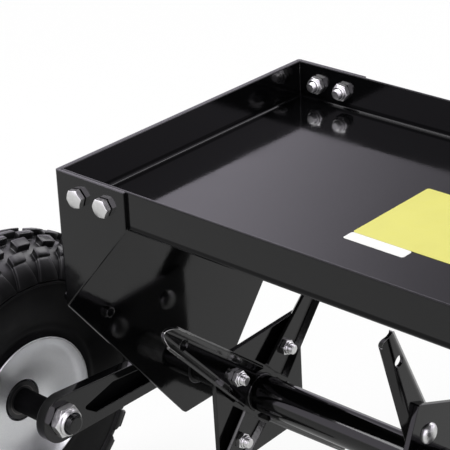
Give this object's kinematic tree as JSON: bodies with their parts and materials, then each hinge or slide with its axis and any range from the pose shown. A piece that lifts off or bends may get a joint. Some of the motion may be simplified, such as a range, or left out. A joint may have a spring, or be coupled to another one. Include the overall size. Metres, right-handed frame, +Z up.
{
  "type": "tow behind aerator",
  "caption": "Tow-behind lawn plug aerator: open weight tray on end plates, spoon tine reels on a cross shaft, transport wheels on lever-raised arms and a V drawbar with a clevis.",
  "frame": {"origin": "on the ground under the middle of the part's box", "axes": "+X along the tine shaft, +Y the way it is towed, +Z up"},
  "size_m": [1.2186, 0.7986, 0.4796],
  "materials": {
    "black_paint": "gloss powder coat",
    "zinc_steel": "bright zinc plate",
    "bare_steel": "bare rolled steel",
    "bush_plastic": "matt",
    "hand_plastic": "soft matt",
    "rim_paint": "silver paint",
    "tyre_rubber": "matt rubber",
    "valve_rubber": "matt rubber"
  },
  "bodies": {
    "frame": {"weight_tray": "black_paint", "end_plate_left": "black_paint", "end_plate_right": "black_paint", "tray_bolts": "zinc_steel", "frame_nuts": "zinc_steel", "shaft_bushes": "bush_plastic", "stop_bolts": "zinc_steel", "drawbar_left": "black_paint", "drawbar_right": "black_paint", "drawbar_bolts": "zinc_steel", "hitch_plate_top": "black_paint", "hitch_plate_bottom": "black_paint", "hitch_bolts": "zinc_steel", "hitch_nuts": "zinc_steel", "lever_quadrant": "black_paint"},
    "lift": {"main_shaft": "bare_steel", "shaft_collars": "black_paint", "spacer_long": "black_paint", "spacers_short": "black_paint", "wheel_arm_left": "black_paint", "wheel_arm_right": "black_paint", "spring_pins": "bare_steel", "lift_lever": "black_paint", "lever_grip": "hand_plastic", "clamp_bolt": "zinc_steel", "axle_bolts": "black_paint", "axle_nuts": "zinc_steel", "axle_sleeves": "black_paint"},
    "knob": {"clamp_knob": "hand_plastic"},
    "wheel_left": {"wheel_rim_left": "rim_paint", "tyre_left": "tyre_rubber", "wheel_bearings_left": "bare_steel", "valve_left": "valve_rubber"},
    "wheel_right": {"wheel_rim_right": "rim_paint", "tyre_right": "tyre_rubber", "wheel_bearings_right": "bare_steel", "valve_right": "valve_rubber"},
    "reel_1": {"reel_1": "black_paint", "reel_bushes_1": "bush_plastic", "tines_1": "black_paint", "tine_bolts_1": "zinc_steel", "tine_nuts_1": "zinc_steel"},
    "reel_2": {"reel_2": "black_paint", "reel_bushes_2": "bush_plastic", "tines_2": "black_paint", "tine_bolts_2": "zinc_steel", "tine_nuts_2": "zinc_steel"},
    "reel_3": {"reel_3": "black_paint", "reel_bushes_3": "bush_plastic", "tines_3": "black_paint", "tine_bolts_3": "zinc_steel", "tine_nuts_3": "zinc_steel"}
  },
  "joints": [
    {"name": "wheel_lift", "type": "hinge", "parent": "frame", "child": "lift", "pos_m": [0, -0.14097, 0.1385], "axis": [-1, 0, 0], "range_deg": [0, 33]},
    {"name": "knob_turn", "type": "hinge", "parent": "lift", "child": "knob", "pos_m": [0.1405, 0.0188, 0.30395], "axis": [-1, 0, 0], "range_deg": [-180, 180]},
    {"name": "wheel_left_spin", "type": "hinge", "parent": "lift", "child": "wheel_left", "pos_m": [-0.564, -0.26393, 0.1355], "axis": [1, 0, 0], "continuous": true},
    {"name": "wheel_right_spin", "type": "hinge", "parent": "lift", "child": "wheel_right", "pos_m": [0.564, -0.26393, 0.1355], "axis": [1, 0, 0], "continuous": true},
    {"name": "reel_1_spin", "type": "hinge", "parent": "lift", "child": "reel_1", "pos_m": [-0.311, -0.14097, 0.1385], "axis": [1, 0, 0], "continuous": true},
    {"name": "reel_2_spin", "type": "hinge", "parent": "lift", "child": "reel_2", "pos_m": [0, -0.14097, 0.1385], "axis": [1, 0, 0], "continuous": true},
    {"name": "reel_3_spin", "type": "hinge", "parent": "lift", "child": "reel_3", "pos_m": [0.311, -0.14097, 0.1385], "axis": [1, 0, 0], "continuous": true}
  ]
}
